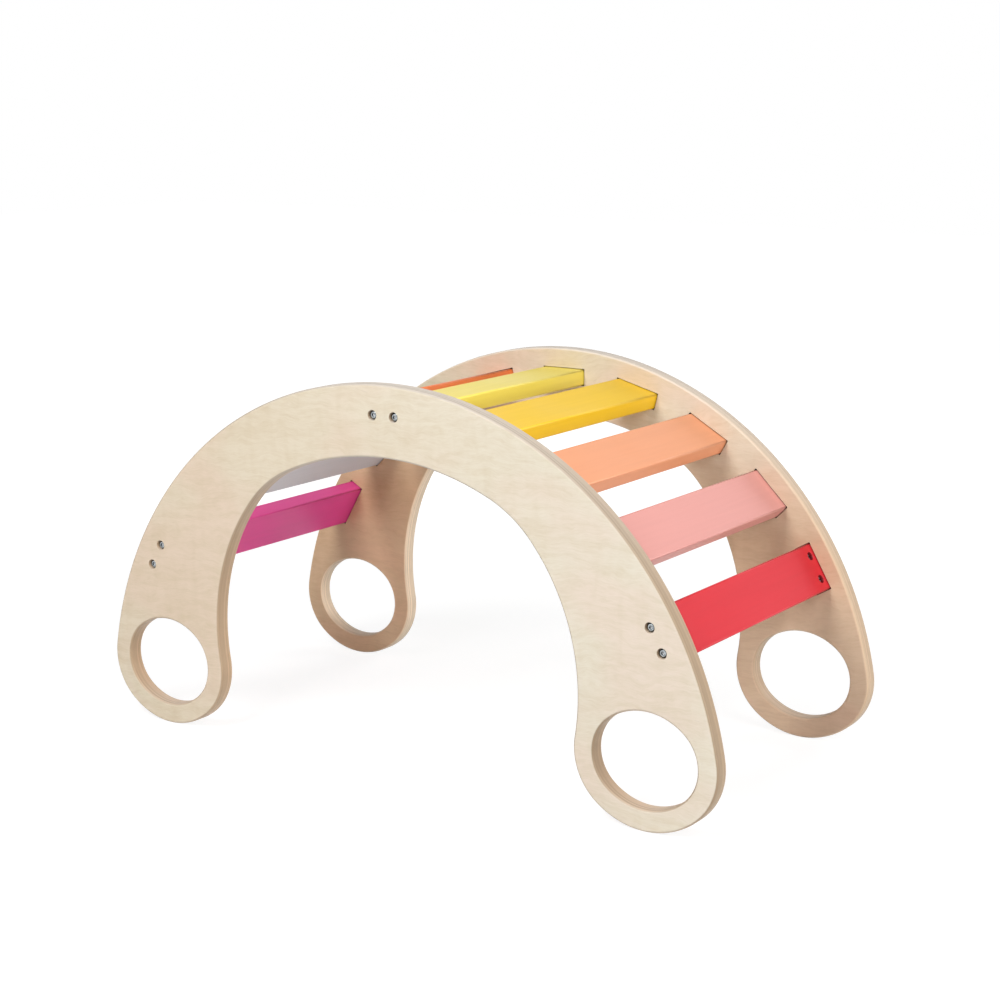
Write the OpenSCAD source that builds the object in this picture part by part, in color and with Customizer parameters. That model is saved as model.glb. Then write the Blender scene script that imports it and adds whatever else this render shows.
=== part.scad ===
// Wooden rocker arch: two plywood side panels joined by nine painted slats.
// Millimetres. X runs along the arch, Y across it, Z up. The origin is on the floor
// under the middle of the arch.

/* [Overall] */
// Length of the arch, foot to foot
overall_len = 867; // [800:1:930]
// Height of the arch above the floor
overall_h = 456; // [430:1:480]

/* [Side panels] */
// Thickness of a side panel
panel_t = 20; // [19:0.5:28]
// Depth of a panel from its outer edge to the arch opening, over the crown
crown_depth = 84; // [78:0.5:92]
// Angle from the top of the arch opening to the end of its crown arc
crown_turn = 24; // [18:0.5:26]
// Radius of the arch opening's haunches
haunch_r = 152; // [140:1:170]
// Angle from the top of the arch opening to the end of its haunch arc
haunch_turn = 49.5; // [46:0.5:54]

/* [Hand holes] */
// Width of an oval hand hole
hole_w = 129; // [120:1:138]
// Height of an oval hand hole
hole_h = 109; // [100:1:116]
// Half the angle that each end arc of the oval turns through
oval_turn = 51; // [46:0.5:60]
// Width of the foot's rim round the hand hole
foot_rim = 25; // [20:0.5:28]

/* [Slats] */
// Length of a slat, end to end
slat_len = 375; // [300:5:600]
// Width of a slat
slat_w = 60; // [54:1:66]
// Thickness of a slat
slat_t = 20; // [18:0.5:24]
// Radius of a slat's long edges
slat_edge_r = 2; // [0.5:0.1:4]
// Angle from one slat to the next
slat_step = 15; // [13.5:0.1:15.5]
// From the panel's outer edge down to the top slat's face
slat_inset_top = 25.5; // [22:0.5:32]
// From the panel's outer edge in to an end slat's face
slat_inset_end = 21; // [17:0.5:26]

/* [Slat pockets] */
// Depth of the pocket that holds a slat's end
pocket_depth = 9; // [6:0.5:11]
// Gap between a slat and its pocket, on each side
pocket_gap = 0.9; // [0.2:0.1:1.5]

/* [Bolts] */
// Diameter of a bolt's shank
bolt_d = 6; // [5:0.5:6.5]
// Diameter of a bolt's domed head
head_d = 10.5; // [9:0.1:11]
// Height of a bolt's domed head
head_h = 3.3; // [2.8:0.1:3.6]
// Depth of the top of the head below the panel's face
head_sink = 2.2; // [0.5:0.1:3]
// Width of the hexagon socket, across its flats
socket_w = 4; // [3:0.5:5]
// Depth of the hexagon socket
socket_depth = 2; // [1.5:0.1:2.4]
// Distance between the two bolts in one end of a slat
bolt_pitch = 30; // [27:1:34]
// Gap between a bolt's head and its counterbore, on each side
head_gap = 0.7; // [0.3:0.1:1.2]
// Gap between a bolt's shank and the wood, on each side
shank_gap = 0.5; // [0.2:0.1:0.8]

/* [Barrel nuts] */
// Diameter of a barrel nut
nut_d = 9.6; // [9:0.1:11]
// Length of a barrel nut
nut_len = 12; // [10:0.5:14]
// From the panel's inner face to the axis of a barrel nut
nut_setback = 11; // [9:0.5:16]
// Gap between a barrel nut and its hole, on each side
nut_gap = 0.2; // [0.1:0.05:0.4]
// Room under a barrel nut in its blind hole
nut_floor_gap = 0.5; // [0.2:0.1:1]
// Length of bolt that comes out past a barrel nut
bolt_past_nut = 4.7; // [1:0.1:6]
// Width of the slot in a barrel nut's end
nut_slot_w = 1.4; // [0.8:0.1:2]
// Depth of the slot in a barrel nut's end
nut_slot_depth = 1.5; // [0.8:0.1:2.2]
// Gap between a bolt's shank and its nut's thread, on each side
thread_gap = 0.05; // [0.02:0.01:0.1]

/* [Hidden] */

// The slats in order, from the left end of the arch to the right: name and paint.
SLATS = [
    ["magenta", [0.75, 0.29, 0.49]],
    ["grey", [0.66, 0.64, 0.64]],
    ["green", [0.62, 0.78, 0.62]],
    ["orange", [0.93, 0.47, 0.24]],
    ["light_yellow", [0.92, 0.87, 0.52]],
    ["golden", [0.95, 0.78, 0.25]],
    ["peach", [0.96, 0.69, 0.55]],
    ["pink", [0.94, 0.63, 0.61]],
    ["red", [0.90, 0.29, 0.32]]
];
mid_slat = (len(SLATS) - 1) / 2;
last_slat = len(SLATS) - 1;

// The slats that are bolted, as places in SLATS. The end slats take their barrel nuts
// from the outer face, and the middle one from its underside.
BOLTED = [0, mid_slat, last_slat];
SIDES = ["near", "far"];
HANDS = ["left", "right"];

function slat_node(i) = str(SLATS[i][0], "_slat");
function fixing_node(side, i, hand, what) = str(side, "_", SLATS[i][0], "_", hand, "_", what);

birch = [0.90, 0.83, 0.73];
zinc = [0.72, 0.74, 0.75];

// Longest straight side in a drawn curve, fewest sides in one, and how far a cutter
// runs out past the wood.
facet = 6;
least_facets = 5;
run_out = 1;
round_facets = 48;
dome_facets = 6;

overall_w = slat_len + 2 * (panel_t - pocket_depth);
inner_face_y = -overall_w / 2 + panel_t;

// The oval hand hole is drawn with two end arcs and two flatter side arcs.
oval_shift = (hole_w - hole_h) / 2 / (cos(oval_turn) + sin(oval_turn) - 1);
oval_end_x = oval_shift * cos(oval_turn);
oval_side_z = oval_shift * sin(oval_turn);
hole_end_r = hole_w / 2 - oval_end_x;
hole_side_r = hole_h / 2 + oval_side_z;

// The foot is the same oval, a rim wider.
foot_end_r = hole_end_r + foot_rim;
foot_side_r = hole_side_r + foot_rim;
foot_z = hole_h / 2 + foot_rim;
foot_x = overall_len / 2 - hole_w / 2 - foot_rim;

// The outer edge is one arc that runs into the outer end arc of each foot.
foot_out = [foot_x + oval_end_x, foot_z];
rise = overall_h - foot_z - foot_end_r;
outer_drop = (pow(foot_out.x, 2) - pow(rise, 2)) / (2 * rise);
outer_r = rise + foot_end_r + outer_drop;
outer_c = [0, foot_z - outer_drop];
outer_end = atan2(outer_drop, foot_out.x);

// The arch opening has a crown arc concentric with the outer edge, a haunch arc and a
// leg arc, and the leg arc runs into the inner end arc of the foot.
function spoke(a) = [cos(a), sin(a)];
foot_in = [foot_x - oval_end_x, foot_z];
crown_r = outer_r - crown_depth;
crown_end = 90 - crown_turn;
haunch_c = outer_c + (crown_r - haunch_r) * spoke(crown_end);
haunch_end = 90 - haunch_turn;
to_foot = haunch_c + haunch_r * spoke(haunch_end) - foot_in;
leg_r = (to_foot * to_foot - pow(foot_end_r, 2))
    / (2 * (foot_end_r + to_foot * spoke(haunch_end)));
leg_c = haunch_c + (haunch_r - leg_r) * spoke(haunch_end);
leg_end = atan2(foot_in.y - leg_c.y, foot_in.x - leg_c.x);

// The slats' outer faces lie on a circle set by their insets at the top and the ends.
top_reach = outer_r - slat_inset_top;
end_reach = outer_r - slat_inset_end;
ring_flat = 1 - cos(slat_step * mid_slat);
slat_face_r = (top_reach
    + sqrt(pow(top_reach, 2) - 2 * (pow(top_reach, 2) - pow(end_reach, 2)) / ring_flat)) / 2;
slat_ring_r = slat_face_r - slat_t / 2;
slat_ring_z = outer_c.y + top_reach - slat_face_r;

// Depths along a bolt, from the panel's outer face.
counterbore_d = head_d + 2 * head_gap;
counterbore_depth = head_h + head_sink;
shank_hole_d = bolt_d + 2 * shank_gap;
nut_from_face = panel_t + nut_setback;
nut_from_end = pocket_depth + nut_setback;
nut_hole_depth = slat_t / 2 + nut_len / 2 + nut_floor_gap;
bolt_len = nut_from_face - counterbore_depth + nut_d / 2 + bolt_past_nut;
shank_in_slat = nut_from_end + nut_d / 2 + bolt_past_nut;
head_rim_h = head_h / 5;
head_land_r = socket_w * 0.7;
bolt_tip_taper = bolt_d / 8;

// An arc about c from angle a0 to a1, without its first point.
function arc(c, r, a0, a1) =
    let (n = max(least_facets, ceil(abs(a1 - a0) / 180 * PI * r / facet)))
    [for (i = [1:n]) c + r * spoke(a0 + (a1 - a0) * i / n)];

// The four arcs of an oval, as a closed loop of points.
function oval(c, end_r, side_r) = concat(
    arc(c + [oval_end_x, 0], end_r, -oval_turn, oval_turn),
    arc(c - [0, oval_side_z], side_r, oval_turn, 180 - oval_turn),
    arc(c - [oval_end_x, 0], end_r, 180 - oval_turn, 180 + oval_turn),
    arc(c + [0, oval_side_z], side_r, 180 + oval_turn, 360 - oval_turn)
);

// The right half of the panel's outline, from the top of its outer edge to the top of
// the arch opening.
half_outline = concat(
    [outer_c + [0, outer_r]],
    arc(outer_c, outer_r, 90, outer_end),
    arc(foot_out, foot_end_r, outer_end, -oval_turn),
    arc([foot_x, foot_z + oval_side_z], foot_side_r, -oval_turn, oval_turn - 180),
    arc(foot_in, foot_end_r, oval_turn - 180, leg_end - 180),
    arc(leg_c, leg_r, leg_end, haunch_end),
    arc(haunch_c, haunch_r, haunch_end, crown_end),
    arc(outer_c, crown_r, crown_end, 90)
);
outline = concat(
    half_outline,
    [for (i = [len(half_outline) - 2:-1:1]) [-half_outline[i].x, half_outline[i].y]]
);

// A rectangle about the origin with rounded corners.
function rounded_rect(w, h, r) = [
    for (corner = [0:3])
        let (a = 90 * corner, sx = corner == 0 || corner == 3 ? 1 : -1, sy = corner < 2 ? 1 : -1)
            each concat([[sx * (w / 2 - r), sy * (h / 2 - r)] + r * spoke(a)],
                arc([sx * (w / 2 - r), sy * (h / 2 - r)], r, a, a + 90))
];

// Puts its children on the slats' circle: X along a slat's width, Y along its length
// and Z outwards from the arch.
module on_ring(i) {
    a = (i - mid_slat) * slat_step;
    translate([slat_ring_r * sin(a), 0, slat_ring_z + slat_ring_r * cos(a)])
        rotate([0, a, 0])
            children();
}

// Mirrors its children to the far side.
module on_side(side) {
    mirror([0, side == "far" ? 1 : 0, 0])
        children();
}

// Moves its children to the left or the right bolt of a pair.
module on_hand(hand) {
    translate([(hand == "left" ? -1 : 1) * bolt_pitch / 2, 0, 0])
        children();
}

// Turns its children over for a slat whose nuts go in from the underside.
module nut_way(i) {
    rotate([0, i == mid_slat ? 180 : 0, 0])
        children();
}

// The near panel, with a pocket for each slat and counterbored bolt holes.
module panel_body() {
    difference() {
        translate([0, inner_face_y, 0])
            rotate([90, 0, 0])
                linear_extrude(panel_t)
                    difference() {
                        polygon(outline);
                        for (x = [-foot_x, foot_x])
                            polygon(oval([x, foot_z], hole_end_r, hole_side_r));
                    }
        for (i = [0:last_slat])
            on_ring(i)
                pocket_cut();
        for (i = BOLTED, hand = HANDS)
            on_ring(i)
                on_hand(hand)
                    bolt_hole_cut();
    }
}

// The room for a slat's end in the near panel.
module pocket_cut() {
    w = slat_w + 2 * pocket_gap;
    h = slat_t + 2 * pocket_gap;
    translate([-w / 2, -slat_len / 2, -h / 2])
        cube([w, pocket_depth + run_out, h]);
}

// The counterbore and the shank's hole through the near panel.
module bolt_hole_cut() {
    translate([0, -overall_w / 2, 0])
        rotate([-90, 0, 0]) {
            translate([0, 0, -run_out])
                cylinder(h = counterbore_depth + run_out, d = counterbore_d, $fn = round_facets);
            cylinder(h = panel_t, d = shank_hole_d, $fn = round_facets);
        }
}

// A plain slat with rounded long edges.
module slat_body() {
    translate([0, slat_len / 2, 0])
        rotate([90, 0, 0])
            linear_extrude(slat_len)
                polygon(rounded_rect(slat_w, slat_t, slat_edge_r));
}

// The blind bore for a bolt in the near end of a slat.
module shank_bore_cut() {
    translate([0, -slat_len / 2 - run_out, 0])
        rotate([-90, 0, 0])
            cylinder(h = shank_in_slat + bolt_past_nut + run_out, d = shank_hole_d, $fn = round_facets);
}

// The blind hole for a barrel nut, from the slat's face at the top.
module nut_hole_cut() {
    translate([0, nut_from_end - slat_len / 2, slat_t / 2 - nut_hole_depth])
        cylinder(h = nut_hole_depth + run_out, d = nut_d + 2 * nut_gap, $fn = round_facets);
}

// A slat drilled at both ends for two bolts and two barrel nuts.
module bolted_slat_body() {
    difference() {
        slat_body();
        for (side = SIDES, hand = HANDS)
            on_side(side)
                on_hand(hand) {
                    shank_bore_cut();
                    nut_hole_cut();
                }
    }
}

// One slat in its paint and its place.
module slat(i) {
    color(SLATS[i][1])
        on_ring(i)
            nut_way(i)
                if (len(search(i, BOLTED)) > 0) bolted_slat_body();
                else slat_body();
}

// A domed bolt with a hexagon socket: its seat at the origin, its head towards +Z.
module socket_bolt() {
    head_r = head_d / 2;
    shank_r = bolt_d / 2;
    dome = [for (i = [0:dome_facets])
        let (a = 90 * i / dome_facets)
            [head_land_r + (head_r - head_land_r) * cos(a), head_rim_h + (head_h - head_rim_h) * sin(a)]];
    difference() {
        rotate_extrude($fn = round_facets)
            polygon(concat(
                [[0, -bolt_len], [shank_r - bolt_tip_taper, -bolt_len],
                    [shank_r, bolt_tip_taper - bolt_len], [shank_r, 0], [head_r, 0]],
                dome,
                [[0, head_h]]
            ));
        translate([0, 0, head_h - socket_depth])
            cylinder(h = socket_depth + run_out, d = socket_w / cos(30), $fn = 6);
    }
}

// A bolt of the near panel, at the middle of a slat.
module bolt_in_panel() {
    translate([0, counterbore_depth - overall_w / 2, 0])
        rotate([90, 0, 0])
            socket_bolt();
}

// A barrel nut in the near end of a slat: a cross bore for the bolt, and a slot in the
// end that faces the mouth of its hole.
module nut_in_slat() {
    translate([0, nut_from_end - slat_len / 2, 0])
        difference() {
            translate([0, 0, -nut_len / 2])
                cylinder(h = nut_len, d = nut_d, $fn = round_facets);
            rotate([90, 0, 0])
                cylinder(h = nut_d + 2 * run_out, d = bolt_d + 2 * thread_gap, center = true,
                    $fn = round_facets);
            translate([-nut_slot_w / 2, -nut_d / 2 - run_out, nut_len / 2 - nut_slot_depth])
                cube([nut_slot_w, nut_d + 2 * run_out, nut_slot_depth + run_out]);
        }
}

module near_side_panel() {
    color(birch)
        panel_body();
}

module far_side_panel() {
    color(birch)
        on_side("far")
            panel_body();
}

module bolt(side, i, hand) {
    color(zinc)
        on_side(side)
            on_ring(i)
                on_hand(hand)
                    bolt_in_panel();
}

module barrel_nut(side, i, hand) {
    color(zinc)
        on_side(side)
            on_ring(i)
                on_hand(hand)
                    nut_way(i)
                        nut_in_slat();
}

near_side_panel();
far_side_panel();
for (i = [0:last_slat])
    slat(i);
for (side = SIDES, i = BOLTED, hand = HANDS) {
    bolt(side, i, hand);
    barrel_nut(side, i, hand);
}
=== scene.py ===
"""Dresses the wooden rocker arch for its photograph.

Two birch plywood side panels carry nine painted slats, and bolts with barrel nuts hold
three of the slats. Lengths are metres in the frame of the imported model: X runs along the
arch, Y across it from the near panel to the far one, and Z up from the floor.
"""

import logging
import math
from collections.abc import Mapping, Sequence
from dataclasses import dataclass
from enum import Enum
from functools import cached_property

import bmesh
import bpy
from mathutils import Matrix, Vector


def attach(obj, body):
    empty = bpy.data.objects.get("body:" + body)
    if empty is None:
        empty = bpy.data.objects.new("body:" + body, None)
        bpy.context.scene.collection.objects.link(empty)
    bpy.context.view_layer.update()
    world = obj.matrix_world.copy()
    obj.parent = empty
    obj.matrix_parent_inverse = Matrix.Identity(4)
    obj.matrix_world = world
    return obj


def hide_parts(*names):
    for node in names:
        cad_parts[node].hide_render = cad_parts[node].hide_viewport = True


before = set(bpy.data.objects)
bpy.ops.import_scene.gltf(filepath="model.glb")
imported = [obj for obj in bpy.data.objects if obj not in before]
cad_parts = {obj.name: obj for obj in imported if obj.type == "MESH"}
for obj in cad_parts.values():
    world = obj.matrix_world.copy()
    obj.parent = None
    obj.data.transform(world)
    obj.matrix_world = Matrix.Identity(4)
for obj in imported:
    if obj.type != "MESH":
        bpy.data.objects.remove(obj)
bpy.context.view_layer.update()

log = logging.getLogger("rocker_arch")

MM = 0.001
PHOTO_PIXELS = 1000
ARC_SIDE = 4.0 * MM  # longest side that an arc is drawn with
ARC_SIDES = 6  # fewest sides that an arc is drawn with
ARC_WELD = 0.02 * MM  # within this, the ends of two arcs are one point
TURNED_SIDES = 48  # sides of a turned shape
TURNED_WELD = 0.001 * MM  # within this, two points of a turned shape are one
SPARE = 1.0 * MM  # how far a cutter reaches past the wood
NODE_GAP = 180  # distance between two nodes in the editor

Triple = tuple[float, float, float]
Colour = Triple
Span = tuple[float, float]
NOISE: Span = (0.3, 0.7)  # most values of a noise lie between these
FINE_NOISE: Span = (0.2, 0.8)  # the same of a noise with more octaves
Profile = Sequence[Span]
Socket = bpy.types.NodeSocket
Feed = Socket | float | Triple | Vector
Material = bpy.types.Material
Piece = bpy.types.Object
Shape = bmesh.types.BMesh
Edges = list[bmesh.types.BMEdge]


# -------- choices

class Named(Enum):
    """A choice that has a word in the CAD nodes' names."""

    @property
    def word(self) -> str:
        """The choice's word in the CAD nodes' names."""
        return self.name.lower()


class Side(Named):
    """The panel that a piece belongs to, as its sign along Y."""

    NEAR = -1
    FAR = 1


class Hand(Named):
    """The bolt of a pair, as its sign along the slat's width."""

    LEFT = -1
    RIGHT = 1


class NutWay(Enum):
    """The face of a bolted slat that its barrel nuts go in from."""

    OUTER_FACE = 0
    UNDERSIDE = 180


class WoodSlot(Enum):
    """Place of a finish among a panel's or slat's material slots."""

    # Darker plywood or paint in bolt and nut holes: painted shade, with some end grain in the
    # plywood.
    BORED = 1
    # Nearly black plywood in the pockets: painted shade for the gap round the slats' ends.
    ROUTED = 2


class ZincSlot(Enum):
    """Place of a finish among a bolt's material slots."""

    # Dark zinc on the heads' sides and the sockets' walls: painted shade and dark reflection.
    FLANK = 1
    # Pale, barely metallic zinc on the sockets' floors: painted highlight.
    SOCKET = 2


@dataclass(frozen=True)
class Paint:
    """One slat's paint.

    Attributes:
        word: Its word in the CAD node's name.
        colour: Its linear colour in full light.
        gloss: Its specular level.
    """

    word: str
    colour: Colour
    gloss: float = 0.55


def srgb(*screen: int) -> Colour:
    """The linear colour of a screen's red, green and blue from 0 to 255, by the sRGB curve."""
    return tuple(share / 12.92 if share <= 0.04045 else ((share + 0.055) / 1.055) ** 2.4
                 for share in (part / 255 for part in screen))


PAINTS: tuple[Paint, ...] = (
    Paint("magenta", srgb(229, 62, 150)),
    Paint("grey", srgb(207, 206, 212)),
    Paint("green", srgb(146, 190, 148)),
    Paint("orange", srgb(238, 122, 56)),
    Paint("light_yellow", srgb(238, 217, 88)),
    Paint("golden", srgb(232, 189, 8), 0.40),
    Paint("peach", srgb(222, 149, 107)),
    Paint("pink", srgb(206, 140, 132)),
    Paint("red", srgb(196, 31, 44), 0.25),
)
LAST_PLACE = len(PAINTS) - 1


# -------- sizes

@dataclass(frozen=True)
class Arc:
    """An arc of a panel's outline, in the plane of the panel.

    Attributes:
        centre: Centre as X and Z.
        radius: Its radius on the panel's widest outline.
        start, end: Angles of its ends, in degrees from +X towards +Z.
        hollow: Whether the wood lies outside the arc.
    """

    centre: Span
    radius: float
    start: float
    end: float
    hollow: bool = False

    def reach(self, inset: float) -> float:
        """Radius of the arc where the outline is drawn in by an inset."""
        return self.radius + (inset if self.hollow else -inset)

    def first_point(self, inset: float, y: float) -> Vector:
        """The arc's first point.

        Args:
            inset: How far the outline is drawn in.
            y: Its depth across the panel.

        Returns:
            The point.
        """
        turn = math.radians(self.start)
        reach = self.reach(inset)
        return Vector((self.centre[0] + reach * math.cos(turn), y,
                       self.centre[1] + reach * math.sin(turn)))

    def mirrored(self) -> "Arc":
        """The same arc on the left half of the arch, run the other way."""
        return Arc((-self.centre[0], self.centre[1]), self.radius,
                   180 - self.end, 180 - self.start, self.hollow)

    def sides(self) -> int:
        """How many straight sides the arc is drawn with."""
        length = abs(math.radians(self.end - self.start)) * self.radius
        return max(ARC_SIDES, math.ceil(length / ARC_SIDE))


@dataclass(frozen=True)
class ArchSizes:
    """The driving sizes of the arch, as in the CAD model, in metres and degrees."""

    length: float = 0.867
    height: float = 0.456
    panel_t: float = 0.020
    crown_depth: float = 0.084
    crown_turn: float = 24.0
    haunch_r: float = 0.152
    haunch_turn: float = 49.5
    hole_w: float = 0.129
    hole_h: float = 0.109
    oval_turn: float = 51.0
    foot_rim: float = 0.025
    slat_len: float = 0.375
    slat_w: float = 0.060
    slat_t: float = 0.020
    slat_edge_r: float = 0.002
    slat_step: float = 15.0
    inset_top: float = 0.0255
    inset_end: float = 0.021
    pocket_depth: float = 0.009
    pocket_gap: float = 0.0009
    bolt_pitch: float = 0.030
    counterbore_d: float = 0.0119
    counterbore_depth: float = 0.0055
    shank_hole_d: float = 0.007
    nut_hole_d: float = 0.010
    nut_hole_depth: float = 0.0165
    nut_setback: float = 0.011
    shank_past_nut: float = 0.0142

    @cached_property
    def width(self) -> float:
        """Width over both panels' outer faces."""
        return self.slat_len + 2 * (self.panel_t - self.pocket_depth)

    @cached_property
    def oval_shift(self) -> Span:
        """How far the oval's end arcs and side arcs are centred off its middle."""
        turn = math.radians(self.oval_turn)
        shift = (self.hole_w - self.hole_h) / 2 / (math.cos(turn) + math.sin(turn) - 1)
        return shift * math.cos(turn), shift * math.sin(turn)

    @cached_property
    def oval_radii(self) -> Span:
        """Radii of the oval's end arcs and side arcs."""
        end_shift, side_shift = self.oval_shift
        return self.hole_w / 2 - end_shift, self.hole_h / 2 + side_shift

    @cached_property
    def foot_centre(self) -> Span:
        """Middle of the right foot and its hand hole, as X and Z."""
        return (self.length / 2 - self.hole_w / 2 - self.foot_rim,
                self.hole_h / 2 + self.foot_rim)

    @cached_property
    def outer_arc(self) -> Arc:
        """Right half of the arc along the arch's back."""
        foot_x, foot_z = self.foot_centre
        run = foot_x + self.oval_shift[0]
        foot_end_r = self.oval_radii[0] + self.foot_rim
        rise = self.height - foot_z - foot_end_r
        drop = (run ** 2 - rise ** 2) / (2 * rise)
        return Arc((0, foot_z - drop), rise + foot_end_r + drop, 90,
                   math.degrees(math.atan2(drop, run)))

    @cached_property
    def panel_arcs(self) -> tuple[Arc, ...]:
        """The closed outline of a panel, from the top of its back round to it."""
        end_shift, side_shift = self.oval_shift
        foot_x, foot_z = self.foot_centre
        end_r, side_r = (radius + self.foot_rim for radius in self.oval_radii)
        back = self.outer_arc
        crown_r = back.radius - self.crown_depth
        crown_end = math.radians(90 - self.crown_turn)
        haunch_end = math.radians(90 - self.haunch_turn)
        haunch = Vector((math.cos(crown_end), math.sin(crown_end))) * (crown_r - self.haunch_r)
        haunch += Vector(back.centre)
        spoke = Vector((math.cos(haunch_end), math.sin(haunch_end)))
        foot_in = Vector((foot_x - end_shift, foot_z))
        reach = haunch + self.haunch_r * spoke - foot_in
        leg_r = (reach.length_squared - end_r ** 2) / (2 * (end_r + reach.dot(spoke)))
        leg = haunch + (self.haunch_r - leg_r) * spoke
        leg_end = math.degrees(math.atan2(foot_in.y - leg.y, foot_in.x - leg.x))
        half = (
            back,
            Arc((foot_x + end_shift, foot_z), end_r, back.end, -self.oval_turn),
            Arc((foot_x, foot_z + side_shift), side_r, -self.oval_turn, self.oval_turn - 180),
            Arc(tuple(foot_in), end_r, self.oval_turn - 180, leg_end - 180),
            Arc(tuple(leg), leg_r, leg_end, 90 - self.haunch_turn, hollow=True),
            Arc(tuple(haunch), self.haunch_r, 90 - self.haunch_turn, 90 - self.crown_turn,
                hollow=True),
            Arc(back.centre, crown_r, 90 - self.crown_turn, 90, hollow=True),
        )
        return half + tuple(arc.mirrored() for arc in reversed(half))

    def hand_hole_arcs(self, sign: int) -> tuple[Arc, ...]:
        """The closed oval of a hand hole.

        Args:
            sign: 1 for the right foot and -1 for the left one.

        Returns:
            The oval's four arcs.
        """
        end_shift, side_shift = self.oval_shift
        end_r, side_r = self.oval_radii
        x, z = sign * self.foot_centre[0], self.foot_centre[1]
        turn = self.oval_turn
        return (
            Arc((x + end_shift, z), end_r, -turn, turn, hollow=True),
            Arc((x, z - side_shift), side_r, turn, 180 - turn, hollow=True),
            Arc((x - end_shift, z), end_r, 180 - turn, 180 + turn, hollow=True),
            Arc((x, z + side_shift), side_r, 180 + turn, 360 - turn, hollow=True),
        )

    @cached_property
    def ring(self) -> Span:
        """Radius of the slats' circle and the height of its centre."""
        back = self.outer_arc
        top = back.radius - self.inset_top
        end = back.radius - self.inset_end
        flat = 1 - math.cos(self.slat_turn(LAST_PLACE))
        face_r = (top + math.sqrt(top ** 2 - 2 * (top ** 2 - end ** 2) / flat)) / 2
        return face_r - self.slat_t / 2, back.centre[1] + top - face_r

    def slat_turn(self, place: int) -> float:
        """Angle of a slat from the top of the arch, in radians."""
        return math.radians((place - LAST_PLACE / 2) * self.slat_step)

    def slat_frame(self, place: int) -> Matrix:
        """Puts a slat on its circle.

        Args:
            place: The slat's place, counted from the left end.

        Returns:
            A matrix with X along the slat's width, Y along its length and Z outwards.
        """
        turn = self.slat_turn(place)
        radius, height = self.ring
        spot = Vector((radius * math.sin(turn), 0, height + radius * math.cos(turn)))
        return Matrix.Translation(spot) @ Matrix.Rotation(turn, 4, "Y")

    def bolt_frame(self, place: int, side: Side, hand: Hand, depth: float) -> Matrix:
        """Puts a bolt or its hole at a depth below a panel's outer face.

        Args:
            place: The slat's place, counted from the left end.
            side: The panel.
            hand: The bolt of the pair.
            depth: Depth below the panel's outer face.

        Returns:
            A matrix with Z out of the panel.
        """
        spot = Vector((hand.value * self.bolt_pitch / 2,
                       side.value * (self.width / 2 - depth), 0))
        facing = Matrix.Rotation(-side.value * math.pi / 2, 4, "X")
        return self.slat_frame(place) @ Matrix.Translation(spot) @ facing


ARCH = ArchSizes()
BOLTED: dict[int, NutWay] = {
    0: NutWay.OUTER_FACE,
    LAST_PLACE // 2: NutWay.UNDERSIDE,
    LAST_PLACE: NutWay.OUTER_FACE,
}


# -------- materials

def grey(level: float) -> Colour:
    """The grey of a level."""
    return level, level, level


def toned(colour: Colour, share: float, white: float = 0.0) -> Colour:
    """A share of a colour with some white added, held at full white."""
    return tuple(min(1.0, share * part + white) for part in colour)


@dataclass(frozen=True)
class Layer:
    """A noise that is drawn out along the grain, and how strongly it shows.

    Attributes:
        pitch: How often it repeats in a metre along each axis.
        low, high: Noise at which it starts to show, and from which on it shows fully.
        share: How strongly it shows there.
        detail, rough: Its octaves, and how much the finer ones count.
        swirl: How far it is swirled.
        height: How much it adds to the relief.
    """

    pitch: Triple
    low: float = 0.0
    high: float = 1.0
    share: float = 1.0
    detail: float = 2.0
    rough: float = 0.5
    swirl: float = 0.0
    height: float = 0.0


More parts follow.
